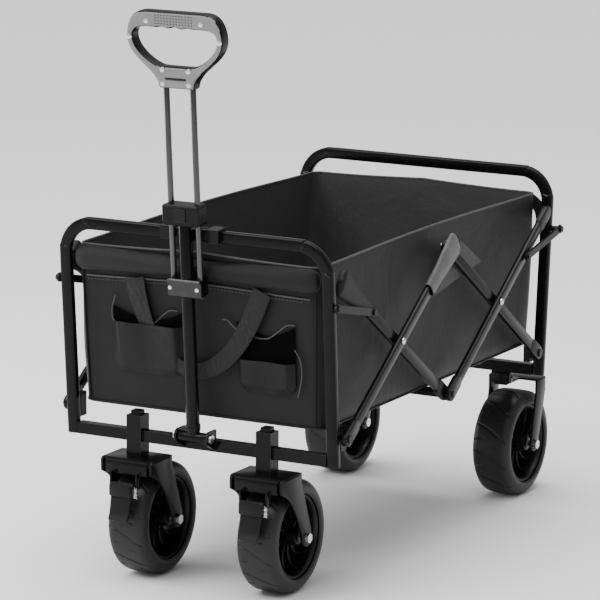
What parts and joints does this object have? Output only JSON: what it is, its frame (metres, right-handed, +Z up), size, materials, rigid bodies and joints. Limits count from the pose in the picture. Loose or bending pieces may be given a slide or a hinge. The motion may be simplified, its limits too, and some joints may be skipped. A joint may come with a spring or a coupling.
{
  "type": "folding wagon with pull handle",
  "caption": "Folding utility wagon: fabric tub between two tube end frames, scissor sides, telescopic pull handle, braked swivel front wheels and fixed rear wheels.",
  "frame": {"origin": "on the ground under the middle of the wagon, on its centre plane", "axes": "+Z up, +Y towards the tail, away from the pull handle, +X to the right when looking along +Y"},
  "size_m": [0.543, 1.0024, 0.9485],
  "materials": {
    "frame_paint": "satin black powder coat",
    "zinc_hardware": "zinc plated",
    "hard_plastic": "moulded, fine grain",
    "brake_plastic": "moulded",
    "grip_plastic": "soft matt with raised dots",
    "tyre_rubber": "moulded tread",
    "rim_plastic": "satin moulded",
    "tub_fabric": "woven polyester"
  },
  "bodies": {
    "wagon_front": {"front_frame": "frame_paint", "front_crossbar": "frame_paint", "handle_clip": "hard_plastic", "handle_pin": "zinc_hardware", "front_pivot_right": "hard_plastic", "front_pivot_left": "hard_plastic", "tub_front": "tub_fabric", "tub_right": "tub_fabric", "tub_left": "tub_fabric", "tub_floor": "tub_fabric"},
    "wagon_rear": {"rear_frame": "frame_paint", "rear_crossbar": "frame_paint", "rear_pivot_right": "hard_plastic", "rear_pivot_left": "hard_plastic", "rear_fork_right": "frame_paint", "rear_fork_left": "frame_paint", "rear_right_axle": "zinc_hardware", "rear_left_axle": "zinc_hardware", "tub_rear": "tub_fabric"},
    "handle": {"handle_post": "frame_paint", "guide_block": "hard_plastic"},
    "handle_slide": {"slider_block": "hard_plastic", "pull_rod_right": "frame_paint", "pull_rod_left": "frame_paint", "grip_front": "grip_plastic", "grip_rear": "grip_plastic"},
    "release_button": {"release_button": "hard_plastic"},
    "arm_a_right": {"arm_a_right": "frame_paint", "front_rivet_right": "zinc_hardware", "top_rivet_right": "zinc_hardware"},
    "arm_b_right": {"arm_b_right": "frame_paint", "cross_tube": "frame_paint"},
    "arm_c_right": {"arm_c_right": "frame_paint"},
    "arm_d_right": {"arm_d_right": "frame_paint", "rear_rivet_right": "zinc_hardware"},
    "front_link_right": {"front_link_right": "frame_paint"},
    "rear_link_right": {"rear_link_right": "frame_paint"},
    "caster_right": {"caster_fork_right": "frame_paint", "front_right_axle": "zinc_hardware"},
    "brake_right": {"brake_pedal_right": "brake_plastic"},
    "front_wheel_right": {"front_right_tyre": "tyre_rubber", "front_right_rim": "rim_plastic"},
    "rear_wheel_right": {"rear_right_tyre": "tyre_rubber", "rear_right_rim": "rim_plastic"},
    "arm_a_left": {"arm_a_left": "frame_paint", "front_rivet_left": "zinc_hardware", "top_rivet_left": "zinc_hardware"},
    "arm_b_left": {"arm_b_left": "frame_paint"},
    "arm_c_left": {"arm_c_left": "frame_paint"},
    "arm_d_left": {"arm_d_left": "frame_paint", "rear_rivet_left": "zinc_hardware"},
    "front_link_left": {"front_link_left": "frame_paint"},
    "rear_link_left": {"rear_link_left": "frame_paint"},
    "caster_left": {"caster_fork_left": "frame_paint", "front_left_axle": "zinc_hardware"},
    "brake_left": {"brake_pedal_left": "brake_plastic"},
    "front_wheel_left": {"front_left_tyre": "tyre_rubber", "front_left_rim": "rim_plastic"},
    "rear_wheel_left": {"rear_left_tyre": "tyre_rubber", "rear_left_rim": "rim_plastic"}
  },
  "joints": [
    {"name": "fold", "type": "hinge", "parent": "wagon_front", "child": "arm_a_right", "pos_m": [0.2575, -0.3958, 0.276], "axis": [1, 0, 0], "range_deg": [0, 42], "deforming": ["tub_right", "tub_left", "tub_floor"]},
    {"name": "front_crossing_right", "type": "hinge", "parent": "arm_a_right", "child": "arm_b_right", "pos_m": [0.252, -0.2108, 0.40078], "axis": [1, 0, 0], "range_deg": [-84, 0]},
    {"name": "top_hinge_right", "type": "hinge", "parent": "arm_a_right", "child": "arm_d_right", "pos_m": [0.252, -0.0258, 0.52557], "axis": [1, 0, 0], "range_deg": [-84, 0]},
    {"name": "rear_crossing_right", "type": "hinge", "parent": "arm_d_right", "child": "arm_c_right", "pos_m": [0.252, 0.1592, 0.40078], "axis": [1, 0, 0], "range_deg": [0, 84]},
    {"name": "rear_frame_hinge", "type": "hinge", "parent": "arm_d_right", "child": "wagon_rear", "pos_m": [0.2465, 0.3442, 0.276], "axis": [1, 0, 0], "range_deg": [0, 42]},
    {"name": "front_link_hinge_right", "type": "hinge", "parent": "wagon_front", "child": "front_link_right", "pos_m": [0.255, -0.42681, 0.491], "axis": [1, 0, 0], "range_deg": [0, 75.6]},
    {"name": "rear_link_hinge_right", "type": "hinge", "parent": "wagon_rear", "child": "rear_link_right", "pos_m": [0.266, 0.38521, 0.491], "axis": [1, 0, 0], "range_deg": [-70.56, 0]},
    {"name": "caster_swivel_right", "type": "hinge", "parent": "wagon_front", "child": "caster_right", "pos_m": [0.12, -0.4068, 0.24], "axis": [0, 0, 1], "continuous": true},
    {"name": "front_wheel_spin_right", "type": "hinge", "parent": "caster_right", "child": "front_wheel_right", "pos_m": [0.12, -0.3588, 0.094], "axis": [1, 0, 0], "continuous": true},
    {"name": "brake_tilt_right", "type": "hinge", "parent": "caster_right", "child": "brake_right", "pos_m": [0.12, -0.4568, 0.165], "axis": [1, 0, 0], "range_deg": [0, 12]},
    {"name": "rear_wheel_spin_right", "type": "hinge", "parent": "wagon_rear", "child": "rear_wheel_right", "pos_m": [0.169, 0.4072, 0.094], "axis": [1, 0, 0], "continuous": true},
    {"name": "arm_a_left_hinge", "type": "hinge", "parent": "wagon_front", "child": "arm_a_left", "pos_m": [-0.2575, -0.3958, 0.276], "axis": [1, 0, 0], "range_deg": [0, 42]},
    {"name": "front_crossing_left", "type": "hinge", "parent": "arm_a_left", "child": "arm_b_left", "pos_m": [-0.252, -0.2108, 0.40078], "axis": [1, 0, 0], "range_deg": [-84, 0]},
    {"name": "top_hinge_left", "type": "hinge", "parent": "arm_a_left", "child": "arm_d_left", "pos_m": [-0.252, -0.0258, 0.52557], "axis": [1, 0, 0], "range_deg": [-84, 0]},
    {"name": "rear_crossing_left", "type": "hinge", "parent": "arm_d_left", "child": "arm_c_left", "pos_m": [-0.252, 0.1592, 0.40078], "axis": [1, 0, 0], "range_deg": [0, 84]},
    {"name": "front_link_hinge_left", "type": "hinge", "parent": "wagon_front", "child": "front_link_left", "pos_m": [-0.255, -0.42681, 0.491], "axis": [1, 0, 0], "range_deg": [0, 75.6]},
    {"name": "rear_link_hinge_left", "type": "hinge", "parent": "wagon_rear", "child": "rear_link_left", "pos_m": [-0.266, 0.38521, 0.491], "axis": [1, 0, 0], "range_deg": [-70.56, 0]},
    {"name": "caster_swivel_left", "type": "hinge", "parent": "wagon_front", "child": "caster_left", "pos_m": [-0.12, -0.4068, 0.24], "axis": [0, 0, 1], "continuous": true},
    {"name": "front_wheel_spin_left", "type": "hinge", "parent": "caster_left", "child": "front_wheel_left", "pos_m": [-0.12, -0.3588, 0.094], "axis": [1, 0, 0], "continuous": true},
    {"name": "brake_tilt_left", "type": "hinge", "parent": "caster_left", "child": "brake_left", "pos_m": [-0.12, -0.4568, 0.165], "axis": [1, 0, 0], "range_deg": [0, 12]},
    {"name": "rear_wheel_spin_left", "type": "hinge", "parent": "wagon_rear", "child": "rear_wheel_left", "pos_m": [-0.169, 0.4072, 0.094], "axis": [1, 0, 0], "continuous": true},
    {"name": "handle_tilt", "type": "hinge", "parent": "wagon_front", "child": "handle", "pos_m": [0, -0.4338, 0.256], "axis": [1, 0, 0], "range_deg": [0, 95]},
    {"name": "handle_telescope", "type": "slide", "parent": "handle", "child": "handle_slide", "axis": [0, -0.0802, 0.9968], "range_m": [-0.18, 0.08]},
    {"name": "button_press", "type": "slide", "parent": "handle", "child": "release_button", "axis": [0, 0.9968, 0.0802], "range_m": [0, 0.004], "stiffness_N_per_m": 300}
  ],
  "couplings": [
    {"joint": "front_crossing_right", "follows": "fold", "ratio": -2},
    {"joint": "top_hinge_right", "follows": "fold", "ratio": -2},
    {"joint": "rear_crossing_right", "follows": "fold", "ratio": 2},
    {"joint": "rear_frame_hinge", "follows": "fold", "ratio": 1},
    {"joint": "front_link_hinge_right", "follows": "fold", "ratio": 1.8},
    {"joint": "rear_link_hinge_right", "follows": "fold", "ratio": -1.68},
    {"joint": "arm_a_left_hinge", "follows": "fold", "ratio": 1},
    {"joint": "front_crossing_left", "follows": "fold", "ratio": -2},
    {"joint": "top_hinge_left", "follows": "fold", "ratio": -2},
    {"joint": "rear_crossing_left", "follows": "fold", "ratio": 2},
    {"joint": "front_link_hinge_left", "follows": "fold", "ratio": 1.8},
    {"joint": "rear_link_hinge_left", "follows": "fold", "ratio": -1.68}
  ]
}
